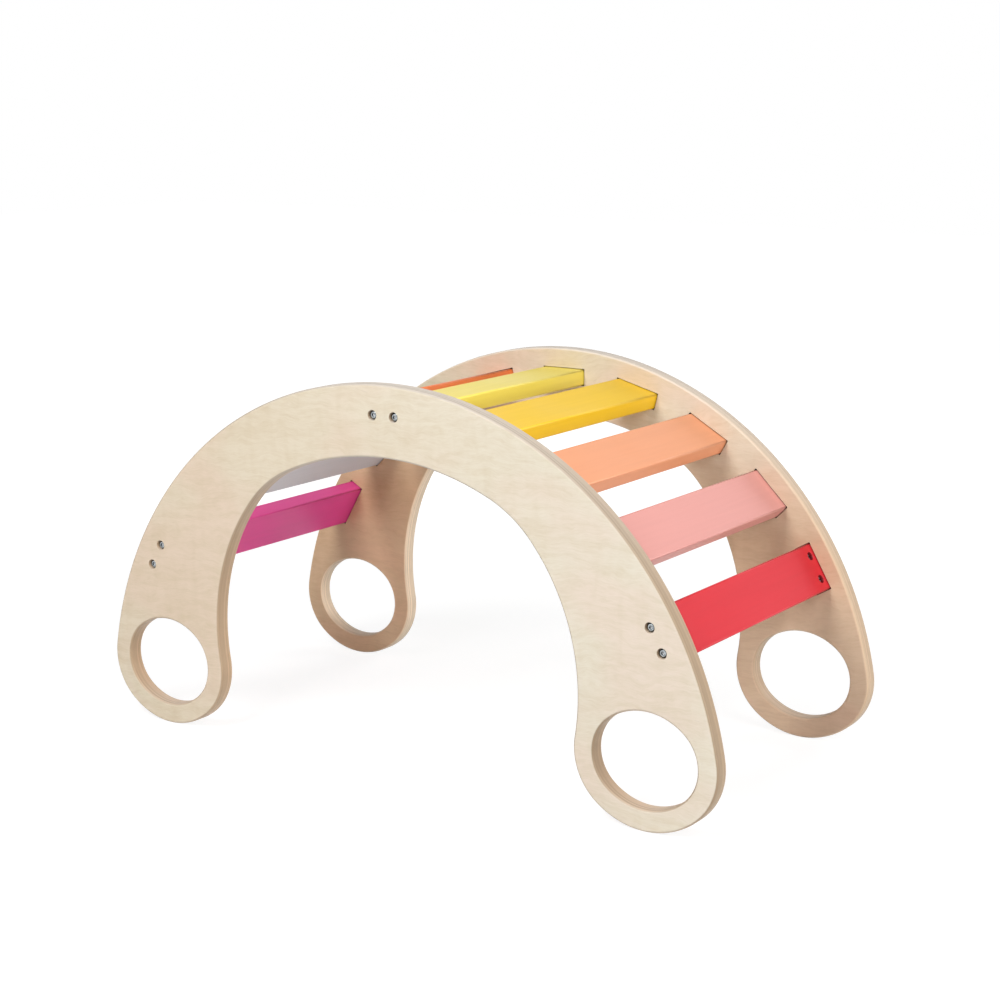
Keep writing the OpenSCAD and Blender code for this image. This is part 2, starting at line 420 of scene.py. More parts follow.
class NodeBench:
    """Builds the nodes of one material or world from short calls."""

    def __init__(self, owner: Material | bpy.types.World) -> None:
        """Starts with no nodes.

        Args:
            owner: The material or world that the nodes are for.
        """
        owner.use_nodes = True
        self.tree = owner.node_tree
        self.tree.nodes.clear()

    def node(self, kind: str, sources: Mapping[int | str, Feed] | None = None,
             **settings: object) -> bpy.types.Node:
        """Adds a node.

        Args:
            kind: The node's type without its ShaderNode prefix.
            sources: What goes into its inputs, by their names or places.
            **settings: Attributes that are set on it first.

        Returns:
            The new node.
        """
        made = self.tree.nodes.new("ShaderNode" + kind)
        made.location = (NODE_GAP * len(self.tree.nodes), 0)
        for name, setting in settings.items():
            setattr(made, name, setting)
        for key, source in (sources or {}).items():
            self.feed(made.inputs[key], source)
        return made

    def feed(self, socket: Socket, source: Feed) -> None:
        """Links a socket to a source, or sets it to a fixed value.

        Args:
            socket: The socket.
            source: Another node's output, a number, or a colour or vector.
        """
        if isinstance(source, Socket):
            self.tree.links.new(source, socket)
        elif isinstance(source, (int, float)):
            socket.default_value = source
        else:
            values = tuple(source)
            room = len(socket.default_value)
            socket.default_value = values + (1.0,) * (room - len(values))

    def where(self) -> Socket:
        """The place on the piece, in its own coordinates."""
        return self.node("TexCoord").outputs["Object"]

    def math(self, operation: str, *terms: Feed, clamp: bool = False) -> Socket:
        """The result of a Math node on some terms, held from 0 to 1 if clamped."""
        return self.node("Math", dict(enumerate(terms)), operation=operation,
                         use_clamp=clamp).outputs[0]

    def mix(self, factor: Feed, low: Feed, high: Feed, blend: str = "MIX") -> Socket:
        """Two colours mixed, with the factor as the second one's share."""
        return self.node("Mix", {0: factor, 6: low, 7: high}, data_type="RGBA",
                         blend_type=blend).outputs[2]

    def tinted(self, colour: Feed, tint: Feed) -> Socket:
        """A colour times a tint."""
        return self.mix(1.0, colour, tint, "MULTIPLY")

    def spread(self, value: Feed, low: float, high: float, to_low: float = 0.0,
               to_high: float = 1.0) -> Socket:
        """A value taken smoothly from one range to another, and held at its ends."""
        ranges = {"Value": value, "From Min": low, "From Max": high, "To Min": to_low,
                  "To Max": to_high}
        return self.node("MapRange", ranges, interpolation_type="SMOOTHSTEP").outputs["Result"]

    def steps(self, value: Feed, shades: Sequence[float]) -> Socket:
        """Turns a share from 0 to 1 into as many even steps as there are shades.

        Args:
            value: The share.
            shades: Grey shade of each step.

        Returns:
            The shade of the step that the share falls in.
        """
        made = self.node("ValToRGB", {0: value})
        ramp = made.color_ramp
        ramp.interpolation = "CONSTANT"
        while len(ramp.elements) < len(shades):
            ramp.elements.new(0.5)
        for place, shade in enumerate(shades):
            ramp.elements[place].position = place / len(shades)
            ramp.elements[place].color = (*grey(shade), 1)
        return made.outputs[0]

    def stretched(self, vector: Feed, factors: Triple, shift: Triple = (0, 0, 0)) -> Socket:
        """A vector scaled along each axis and then shifted."""
        return self.node("VectorMath", {0: vector, 1: factors, 2: shift},
                         operation="MULTIPLY_ADD").outputs[0]

    def noise(self, where: Feed, layer: Layer) -> Socket:
        """The noise of a layer, from 0 to 1."""
        sources = {"Vector": self.stretched(where, layer.pitch), "Scale": 1.0,
                   "Detail": layer.detail, "Roughness": layer.rough, "Distortion": layer.swirl}
        return self.node("TexNoise", sources).outputs["Fac"]

    def shown(self, noise: Feed, layer: Layer) -> Socket:
        """How strongly a layer shows at a value of its noise."""
        return self.spread(noise, layer.low, layer.high, 0.0, layer.share)

    def split(self, vector: Feed) -> tuple[Socket, ...]:
        """The X, Y and Z of a vector."""
        return tuple(self.node("SeparateXYZ", {0: vector}).outputs)

    def joined(self, *parts: Feed) -> Socket:
        """The vector of an X, Y and Z."""
        return self.node("CombineXYZ", dict(enumerate(parts))).outputs[0]

    def seen(self) -> Socket:
        """1 for rays that come from the camera, gloss or glass, and 0 for all others."""
        rays = self.node("LightPath").outputs
        direct = self.math("MAXIMUM", rays["Is Camera Ray"], rays["Is Glossy Ray"])
        return self.math("MAXIMUM", direct, rays["Is Transmission Ray"])

    def surface(self, colour: Feed, roughness: Feed, height: Feed, relief: Span,
                **fixed: float) -> None:
        """Ends the material in a Principled shader.

        Args:
            colour: Base colour.
            roughness: Roughness.
            height: Height of its relief, from 0 to 1.
            relief: What 1 stands for in metres, and how strongly the relief is seen.
            **fixed: Other inputs by name, with _ for a space.
        """
        depth, strength = relief
        bump = self.node("Bump", {"Strength": strength, "Distance": depth, "Height": height})
        shader = self.node("BsdfPrincipled", {"Base Color": colour, "Roughness": roughness,
                                              "Normal": bump.outputs["Normal"]})
        for name, setting in fixed.items():
            self.feed(shader.inputs[name.replace("_", " ")], setting)
        self.node("OutputMaterial", {"Surface": shader.outputs[0]})


class Finish:
    """A finish of some surfaces."""

    def material(self, name: str) -> Material:
        """Makes a material with the finish.

        Args:
            name: The material's name.

        Returns:
            The material.
        """
        made = bpy.data.materials.new(name)
        self.dress(NodeBench(made))
        return made

    def dress(self, bench: NodeBench) -> None:
        """Lays out the finish's nodes on a material's bench."""
        raise NotImplementedError


@dataclass(frozen=True)
class Veneer:
    """A rotary-cut birch veneer.

    Attributes:
        pale, deep, blush: Colours of its early wood, late wood and warmer patches.
        speck: Share of the late wood's colour in the small dark streaks.
    """

    pale: Colour
    deep: Colour
    blush: Colour
    speck: float = 0.62

    def colour(self, bench: NodeBench, blush: Feed, figure: Feed, speck: Feed) -> Socket:
        """Colours the veneer.

        Args:
            bench: The material's nodes.
            blush: Share of the warmer patches.
            figure: Share of late wood.
            speck: Share of the small dark streaks.

        Returns:
            The veneer's colour.
        """
        colour = bench.mix(blush, self.pale, self.blush)
        colour = bench.mix(figure, colour, self.deep)
        return bench.mix(speck, colour, toned(self.deep, self.speck))


@dataclass(frozen=True)
class Blend:
    """Two colours, one of which runs into the other.

    Attributes:
        first, last: The colours.
        start, end: Where they start and stop to run into each other, in metres.
    """

    first: Colour
    last: Colour
    start: float
    end: float

    def at(self, bench: NodeBench, place: Feed) -> Socket:
        """The colour at a place along the run."""
        return bench.mix(bench.spread(place, self.start, self.end), self.first, self.last)


@dataclass(frozen=True)
class PlywoodFinish(Finish):
    """Lacquered birch plywood, as one solid pattern through the sheet.

    The faces show veneers with fine wavy grain along X, a warmer one inside the arch, whose
    darker, warmer colour is partly painted shade and bounced light. A cut edge shows the
    plies, each darker where it is cut across its grain. Painted light and shade also vary
    the colours by place and facing: along X, on the inner faces' feet, towards the crown,
    on edges that face up or down, between the near and far sheets' edges and at the arrises.

    Attributes:
        outer, inner: Veneers of the outward face and of the one that the slats meet.
        The inner one is darker and warmer, partly as painted shade and bounced light.
        outer_tint, inner_tint: What they are multiplied by, along X, as painted light and
        shade: warmer to the left and bluer to the right.
        foot_tint: What the inner veneer is multiplied by at the feet, from inside the arch
        outwards: painted light, much lighter inside the arch and a little darker outside it.
        foot_rise: Height at which that starts, and below which it is full.
        fade, faded: Heights between which the inner face turns towards the outer veneer's
        paler colour, and how far it does: painted light, lighter towards the crown.
        level_cut: Colour of an edge that faces up or down, upwards from the feet, lighter than
        an edge that faces along the arch, as painted light.
        near_cut, far_cut: Colours of the sheets' edges that face along the arch, along X.
        The near sheet's are darker as painted shade and the far sheet's lighter as painted
        light, and both are darker to the right.
        plies: Shade of each ply, from the inner face of the sheet to the outer one.
        turn: How sharply an edge's colour changes to the lighter, painted-light one of a level
        edge where it turns level.
        dark: Share of the near edge's deepest colour in streaks and glue lines.
        across, glue: How much darker a ply cut across its grain and a glue line are.
        glue_line: Distance from a ply's middle at which its glue line starts and is full.
        calm: Strength of the inner veneer's figure against the outer one's.
        cut: How squarely a surface faces across the sheet where the plies start to show,
            and where only they do.
        arrises: Shade of the arrises, on the inner face and on the outer one: partly the
            sanding of the veneer, and partly a painted highlight on the inner arris and painted
            shade on the outer one, which the lamps light more than the face.
        arris: How squarely they face across the sheet where that starts and is full.
            arris_end, arris_left: The same on the edge's side, from where it has died away to
                where
            it is full, and what is left of it there.
        lacquer: Roughness of early and of late wood.
        relief: Depth of the fibres, and how strongly they are seen.
        shade: What all colours are multiplied by.
        sway, ripple: Slow and short waves of the grain, with their height in metres.
        band, grain, fibre: Broad bands of late wood, growth lines and fine fibres.
        curl, cloud, fleck: Marks across the grain, warmer patches and small dark streaks.
        streak: Fibres along a cut edge.
    """

    outer: Veneer = Veneer(srgb(225, 214, 194), srgb(207, 190, 162), srgb(226, 206, 188))
    # The inner veneer is darker and warmer than the outer one: partly its own colour, partly
    # painted shade and bounced light.
    inner: Veneer = Veneer(srgb(211, 181, 149), srgb(181, 147, 114), srgb(212, 175, 145))
    # Painted light and shade along X: warmer to the left, bluer to the right.
    outer_tint: Blend = Blend((0.97, 0.95, 0.92), (1.01, 1.05, 1.09), -0.4, 0.4)
    inner_tint: Blend = Blend((1.00, 0.95, 0.88), (0.94, 0.95, 0.98), -0.4, 0.4)
    # Painted light on the inner faces' feet: much lighter inside the arch, low down.
    foot_tint: Blend = Blend((1.32, 1.42, 1.52), (0.90, 0.93, 0.98), 0.30, 0.43)
    foot_rise: Span = (0.24, 0.10)
    # Painted light: the inner face grows paler towards the crown.
    fade: Span = (0.23, 0.41)
    faded: float = 0.85
    # Edges that face up or down are lighter: painted light.
    level_cut: Blend = Blend(srgb(213, 192, 168), srgb(215, 204, 191), 0.16, 0.34)
    # The near sheet's edges darker as painted shade, the far sheet's lighter as painted light.
    near_cut: Blend = Blend(srgb(198, 170, 139), srgb(165, 141, 113), -0.45, 0.10)
    far_cut: Blend = Blend(srgb(250, 228, 200), srgb(194, 167, 138), -0.25, 0.36)
    plies: tuple[float, ...] = (1.07, 1.0, 0.96, 1.01, 0.97, 0.90, 1.0, 0.86, 1.04)
    turn: float = 1.8
    dark: float = 0.5
    across: float = 0.20
    glue: float = 0.26
    glue_line: Span = (0.42, 0.50)
    calm: float = 0.62
    cut: Span = (0.99, 0.78)
    # Arris shade: partly sanding, partly a painted highlight inside and painted shade outside.
    arrises: Span = (1.04, 0.87)
    arris: Span = (0.995, 0.88)
    arris_end: Span = (0.15, 0.75)
    arris_left: float = 0.35
    lacquer: Span = (0.44, 0.56)
    relief: Span = (0.12 * MM, 0.3)
    shade: float = 1.0
    sway: Layer = Layer((3.0, 9.0, 7.0), share=0.060)
    ripple: Layer = Layer((30.0, 30.0, 40.0), share=0.016)
    band: Layer = Layer((2.5, 3.0, 40.0), 0.40, 0.70, 0.12)
    grain: Layer = Layer((30.0, 3.0, 190.0), 0.36, 0.72, 0.38, 4.0, 0.62, height=0.5)
    fibre: Layer = Layer((90.0, 30.0, 640.0), 0.35, 0.75, 0.26, 3.0, 0.6, height=0.7)
    curl: Layer = Layer((62.0, 30.0, 15.0), 0.40, 0.75, 0.14, swirl=0.6)
    cloud: Layer = Layer((5.0, 8.0, 9.0), 0.42, 0.62, 0.85)
    fleck: Layer = Layer((55.0, 60.0, 560.0), 0.72, 0.82, 0.30, rough=0.4)
    streak: Layer = Layer((34.0, 700.0, 34.0), 0.35, 0.75, 0.16, detail=3.0, rough=0.6)

    def edge(self, bench: NodeBench, where: Feed, facing: Sequence[Feed], share: Feed) -> Socket:
        """Colours a cut edge.

        Args:
            bench: The material's nodes.
            where: Place in the sheet.
            facing: X, Y and Z of the surface's normal.
            share: How far through the sheet the place is.

        Returns:
            The edge's colour.
        """
        count = len(self.plies)
        x, y, z = bench.split(where)
        along, upright = (bench.math("ABSOLUTE", facing[axis]) for axis in (0, 2))
        # The near sheet's edges darker as painted shade, the far sheet's lighter as painted
        # light.
        far = bench.math("GREATER_THAN", y, 0.0)
        side = bench.mix(far, self.near_cut.at(bench, x), self.far_cut.at(bench, x))
        # Edges that face up or down take the lighter level colour: painted light.
        upward = bench.math("MULTIPLY", upright, upright)
        both = bench.math("MULTIPLY_ADD", along, along, upward)
        level = bench.math("POWER", bench.math("DIVIDE", upward, both, clamp=True), self.turn)
        colour = bench.mix(level, side, self.level_cut.at(bench, z))
        dark = toned(self.near_cut.last, self.dark)
        crossed = bench.steps(share, [place % 2 for place in range(count)])
        ends = bench.math("ADD",
                          bench.math("MULTIPLY", along, bench.math("SUBTRACT", 1.0, crossed)),
                          bench.math("MULTIPLY", upright, crossed))
        colour = bench.mix(bench.math("MULTIPLY", ends, self.across), colour, dark)
        streak = bench.noise(where, self.streak)
        colour = bench.mix(bench.shown(streak, self.streak), colour, dark)
        colour = bench.tinted(colour, bench.steps(share, self.plies))
        lap = bench.math("FRACT", bench.math("MULTIPLY", share, float(count)))
        lap = bench.math("ABSOLUTE", bench.math("SUBTRACT", lap, 0.5))
        return bench.mix(bench.spread(lap, *self.glue_line, 0.0, self.glue), colour, dark)

    def dress(self, bench: NodeBench) -> None:
        """Lays out the plywood's nodes.

        Args:
            bench: The material's nodes.
        """
        place = bench.node("TexCoord")
        where = place.outputs["Object"]
        facing = bench.split(place.outputs["Normal"])
        x, y, z = bench.split(where)
        drift = z
        for wave in (self.sway, self.ripple):
            swing = bench.math("SUBTRACT", bench.noise(where, wave), 0.5)
            drift = bench.math("MULTIPLY_ADD", swing, wave.share, drift)
        lie = bench.joined(x, y, drift)
        grain, fibre = bench.noise(lie, self.grain), bench.noise(lie, self.fibre)
        figure = 0.0
        for noise, layer in ((grain, self.grain), (bench.noise(lie, self.band), self.band),
                             (fibre, self.fibre), (bench.noise(where, self.curl), self.curl)):
            figure = bench.math("ADD", figure, bench.shown(noise, layer))
        blush = bench.shown(bench.noise(where, self.cloud), self.cloud)
        speck = bench.shown(bench.noise(lie, self.fleck), self.fleck)
        pale = self.outer.colour(bench, blush, figure, speck)
        # Painted light and shade along X on both faces.
        pale = bench.tinted(pale, self.outer_tint.at(bench, x))
        # The inner face's colour, which carries painted light and shade from here on.
        inner_with_painted_light = self.inner.colour(bench, blush, bench.math("MULTIPLY", figure, self.calm), speck)
        inner_with_painted_light = bench.tinted(inner_with_painted_light, self.inner_tint.at(bench, x))
        # Painted light on the inner faces' feet, full below the lower height.
        foot = bench.tinted(inner_with_painted_light, self.foot_tint.at(bench, bench.math("ABSOLUTE", x)))
        inner_with_painted_light = bench.mix(bench.spread(z, *self.foot_rise), inner_with_painted_light, foot)
        # Painted light: the inner face grows paler towards the crown.
        inner_with_painted_light = bench.mix(bench.spread(z, *self.fade, 0.0, self.faded), inner_with_painted_light, pale)
        depth = bench.math("SUBTRACT", bench.math("ABSOLUTE", y), ARCH.width / 2 - ARCH.panel_t)
        share = bench.math("DIVIDE", depth, ARCH.panel_t, clamp=True)
        outward = bench.math("GREATER_THAN", share, 0.5)
        flat = bench.math("ABSOLUTE", facing[1])
        colour = bench.mix(bench.spread(flat, *self.cut), bench.mix(outward, inner_with_painted_light, pale),
                           self.edge(bench, where, facing, share))
        # Arris shade: partly sanding, partly a painted highlight inside and painted shade
        # outside.
        arris_sanding_and_painted_light = bench.math("MULTIPLY", bench.spread(flat, *self.arris),
                            bench.spread(flat, *self.arris_end, self.arris_left, 1.0))
        shade = bench.mix(outward, *(grey(level) for level in self.arrises))
        colour = bench.mix(arris_sanding_and_painted_light, colour, bench.tinted(colour, shade))
        if self.shade != 1.0:
            colour = bench.tinted(colour, grey(self.shade))
        height = bench.math("ADD", bench.math("MULTIPLY", fibre, self.fibre.height),
                            bench.math("MULTIPLY", grain, self.grain.height))
        bench.surface(colour, bench.spread(grain, *FINE_NOISE, *self.lacquer), height,
                      self.relief)


@dataclass(frozen=True)
class PaintFinish(Finish):
    """Satin paint on a slat, thin enough that the grain shows faintly.

    Attributes:
        place: The slat's place, counted from the left end.
        shade: What the colour is multiplied by.
        arris: Distances from an arris, along both faces together, at which the paint starts
            to be rubbed and is rubbed most.
        shift: How far the pattern moves from one slat to the next.
        grain, cloud, brush: The wood's grain, the paint's uneven thickness and its strokes.
        dark: Share of the colour that the grain keeps.
        thin, bare: Share of it that thin and rubbed paint keep, and the white in them.
        rubbed: How far an arris is rubbed, between strokes and on them.
        sheen: Roughness of thin and of thick paint.
        relief: Depth of grain and strokes, and how strongly they are seen.
    """

    place: int
    shade: float = 1.0
    arris: Span = (2.6 * MM, 0.8 * MM)
    shift: Triple = (0.7, 0.3, 0)
    grain: Layer = Layer((150.0, 5.0, 150.0), 0.35, 0.75, 0.16, 4.0, 0.6, 0.3, height=0.8)
    cloud: Layer = Layer((9.0, 9.0, 9.0), 0.35, 0.75, 0.16)
    brush: Layer = Layer((520.0, 14.0, 520.0), height=0.6)
    dark: float = 0.72
    thin: Span = (0.92, 0.06)
    bare: Span = (0.8, 0.16)
    rubbed: Span = (0.06, 0.20)
    sheen: Span = (0.36, 0.46)
    relief: Span = (0.10 * MM, 0.25)

    def dress(self, bench: NodeBench) -> None:
        """Lays out the paint's nodes.

        Args:
            bench: The material's nodes.
        """
        slat = {"Vector": bench.where(), "Rotation": (0, ARCH.slat_turn(self.place), 0),
                "Location": ARCH.slat_frame(self.place).translation}
        where = bench.node("Mapping", slat, vector_type="TEXTURE").outputs[0]
        shift = tuple(part * self.place for part in self.shift)
        lie = bench.stretched(where, (1, 1, 1), shift)
        grain, cloud, brush = (bench.noise(lie, layer)
                               for layer in (self.grain, self.cloud, self.brush))
        paint = toned(PAINTS[self.place].colour, self.shade)
        colour = bench.mix(bench.shown(grain, self.grain), paint, toned(paint, self.dark))
        colour = bench.mix(bench.shown(cloud, self.cloud), colour, toned(paint, *self.thin))
        x, _, z = bench.split(where)
        edges = [bench.math("SUBTRACT", width / 2, bench.math("ABSOLUTE", across))
                 for width, across in ((ARCH.slat_w, x), (ARCH.slat_t, z))]
        rubbed = bench.math("MULTIPLY", bench.spread(bench.math("ADD", *edges), *self.arris),
                            bench.spread(brush, *NOISE, *self.rubbed))
        colour = bench.mix(rubbed, colour, toned(paint, *self.bare))
        height = bench.math("ADD", bench.math("MULTIPLY", brush, self.brush.height),
                            bench.math("MULTIPLY", grain, self.grain.height))
        bench.surface(colour, bench.spread(cloud, *NOISE, *self.sheen), height, self.relief,
                      Specular_IOR_Level=PAINTS[self.place].gloss)


@dataclass(frozen=True)
class ZincFinish(Finish):
    """Zinc-plated steel.

    Attributes:
        bright, dull: Colours of the plating and of the places where it has dulled.
        polish: Roughness of the bright places.
        metal: How metallic the plating still is.
        dulled: How much rougher the dull places are.
        relief: Depth of its grain, and how strongly it is seen.
        bloom, grit: Dull places, and the fine grain of the plating.
    """

    bright: Colour = srgb(184, 190, 193)
    dull: Colour = srgb(142, 148, 152)
    polish: float = 0.16
    metal: float = 1.0
    dulled: float = 0.16
    relief: Span = (0.02 * MM, 0.3)
    bloom: Layer = Layer((420.0, 420.0, 420.0), 0.35, 0.7, detail=3.0)
    grit: Layer = Layer((2600.0, 2600.0, 2600.0))

    def dress(self, bench: NodeBench) -> None:
        """Lays out the plating's nodes.

        Args:
            bench: The material's nodes.
        """
        where = bench.where()
        bloom = bench.noise(where, self.bloom)
        colour = bench.mix(bench.shown(bloom, self.bloom), self.bright, self.dull)
        roughness = bench.spread(bloom, *NOISE, self.polish, self.polish + self.dulled)
        bench.surface(colour, roughness, bench.noise(where, self.grit), self.relief,
                      Metallic=self.metal)


@dataclass(frozen=True)
class FloorFinish(Finish):
    """A white studio floor that keeps a faint shadow.

    Attributes:
        colour: Grey of the floor as it lights the object.
        veil: Share of its own shading that the camera sees.
        glow: White that is added for the camera round the object.
        lit, blank: Distance from the origin up to which the glow is that low, and from which
            on the floor is plain white.
    """

    colour: float = 0.80
    veil: float = 0.22
    glow: float = 0.86
    lit: float = 0.9
    blank: float = 1.7

    def dress(self, bench: NodeBench) -> None:
        """Lays out the floor's nodes.

        Args:
            bench: The material's nodes.
        """
        plain, veil = (bench.node("BsdfDiffuse", {"Color": grey(level)}).outputs[0]
                       for level in (self.colour, self.veil))
        far = bench.node("VectorMath", {0: bench.where()}, operation="LENGTH").outputs["Value"]
        glow = bench.spread(far, self.lit, self.blank, self.glow, 1.0)
        white = bench.node("Emission", {"Strength": glow}).outputs[0]
        shown = bench.node("AddShader", {0: veil, 1: white}).outputs[0]
        chosen = bench.node("MixShader", {0: bench.seen(), 1: plain, 2: shown}).outputs[0]
        bench.node("OutputMaterial", {"Surface": chosen})


# -------- bench work

def quarter(steps: int) -> list[Span]:
    """Cosine and sine at even steps through a quarter turn."""
    turns = [math.pi / 2 * step / steps for step in range(steps + 1)]
    return [(math.cos(turn), math.sin(turn)) for turn in turns]


def new_edges(bm: Shape, before: set) -> Edges:
    """The edges of a bmesh that weren't in it before."""
    return [edge for edge in bm.edges if edge not in before]


def add_part(bm: Shape, part: Shape) -> Edges:
    """Adds a part that was made by itself to a larger shape.

    Args:
        bm: The larger shape.
        part: The part, which is freed.

    Returns:
        The part's edges in the larger shape.
    """
    before = set(bm.edges)
    mesh = bpy.data.meshes.new("part")
    part.to_mesh(mesh)
    part.free()
    bm.from_mesh(mesh)
    bpy.data.meshes.remove(mesh)
    return new_edges(bm, before)


def draw_loop(bm: Shape, arcs: Sequence[Arc], inset: float, y: float) -> Edges:
    """Draws a closed path of arcs that run into one another.

    Args:
        bm: Where it is drawn.
        arcs: The arcs, in order.
        inset: How far the path is drawn in from its widest line.
        y: Its depth across the panel.

    Returns:
        The path's edges.
    """
    path = bmesh.new()
    tip = bmesh.ops.create_vert(path, co=arcs[0].first_point(inset, y))["vert"][0]
    for arc in arcs:
        turned = bmesh.ops.spin(
            path, geom=[tip], cent=(arc.centre[0], y, arc.centre[1]), axis=(0, 1, 0),
            angle=math.radians(arc.start - arc.end), steps=arc.sides(), use_merge=False,
            use_duplicate=False)
        tip = next(item for item in turned["geom_last"] if isinstance(item, bmesh.types.BMVert))
    bmesh.ops.remove_doubles(path, verts=path.verts[:], dist=ARC_WELD)
    return add_part(bm, path)


def revolve(bm: Shape, profile: Profile) -> None:
    """Turns a profile round Z.

    Args:
        bm: Where it is made.
        profile: Radius and height of each point.
    """
    line = [bmesh.ops.create_vert(bm, co=(radius, 0, height))["vert"][0]
            for radius, height in profile]
    edges = [bm.edges.new(pair) for pair in zip(line, line[1:])]
    bmesh.ops.spin(bm, geom=line + edges, cent=(0, 0, 0), axis=(0, 0, 1), angle=math.tau,
                   steps=TURNED_SIDES, use_merge=True, use_duplicate=False)
    bmesh.ops.remove_doubles(bm, verts=bm.verts[:], dist=TURNED_WELD)
    for face in bm.faces:
        face.smooth = True


def make_object(bm: Shape, name: str, materials: Sequence[Material]) -> Piece:
    """Turns a bmesh into an object at the origin, with its faces outwards.

    Args:
        bm: The shape, which is freed.
        name: Name of the object.
        materials: Its material slots.

    Returns:
        The object.
    """
    bmesh.ops.recalc_face_normals(bm, faces=bm.faces[:])
    mesh = bpy.data.meshes.new(name)
    bm.to_mesh(mesh)
    bm.free()
    for material in materials:
        mesh.materials.append(material)
    made = bpy.data.objects.new(name, mesh)
    bpy.context.scene.collection.objects.link(made)
    return made


def bore_cutter(profile: Profile, lies: Sequence[Matrix], materials: Sequence[Material]) -> Piece:
    """Makes a cutter for round holes of one kind.

    Args:
        profile: Radius and height of each point of a hole.
        lies: Where each hole is, with Z out of its mouth.
        materials: The materials of the piece that the holes are cut in.

    Returns:
        The cutter.
    """
    bm = bmesh.new()
    for lie in lies:
        hole = bmesh.new()
        revolve(hole, profile)
        hole.transform(lie)
        # The holes' faces take the darker finish: painted shade in the holes.
        for face in hole.faces:
            face.material_index = WoodSlot.BORED.value
        add_part(bm, hole)
    return make_object(bm, "bore_cutter", materials)


def carve(body: Piece, cutter: Piece) -> None:
    """Takes a cutter's shape out of a body, and deletes the cutter.

    Args:
        body: What is cut.
        cutter: What cuts it. Its faces keep their material's place in the body's slots.
    """
    cut = body.modifiers.new("joinery", "BOOLEAN")
    cut.operation, cut.solver, cut.object = "DIFFERENCE", "EXACT", cutter
    bpy.context.view_layer.update()
    solved = body.evaluated_get(bpy.context.evaluated_depsgraph_get())
    carved = bpy.data.meshes.new_from_object(solved)
    body.modifiers.remove(cut)
    body.data = carved
    bpy.data.objects.remove(cutter)


def settle(piece: Piece, node: str) -> None:
    """Lets a piece stand for a CAD node.

    Args:
        piece: The finished piece.
        node: The CAD node that it replaces.
    """
    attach(piece, "root")
    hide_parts(node)
    log.info("%s: %d faces", piece.name, len(piece.data.polygons))


# -------- sub-assemblies

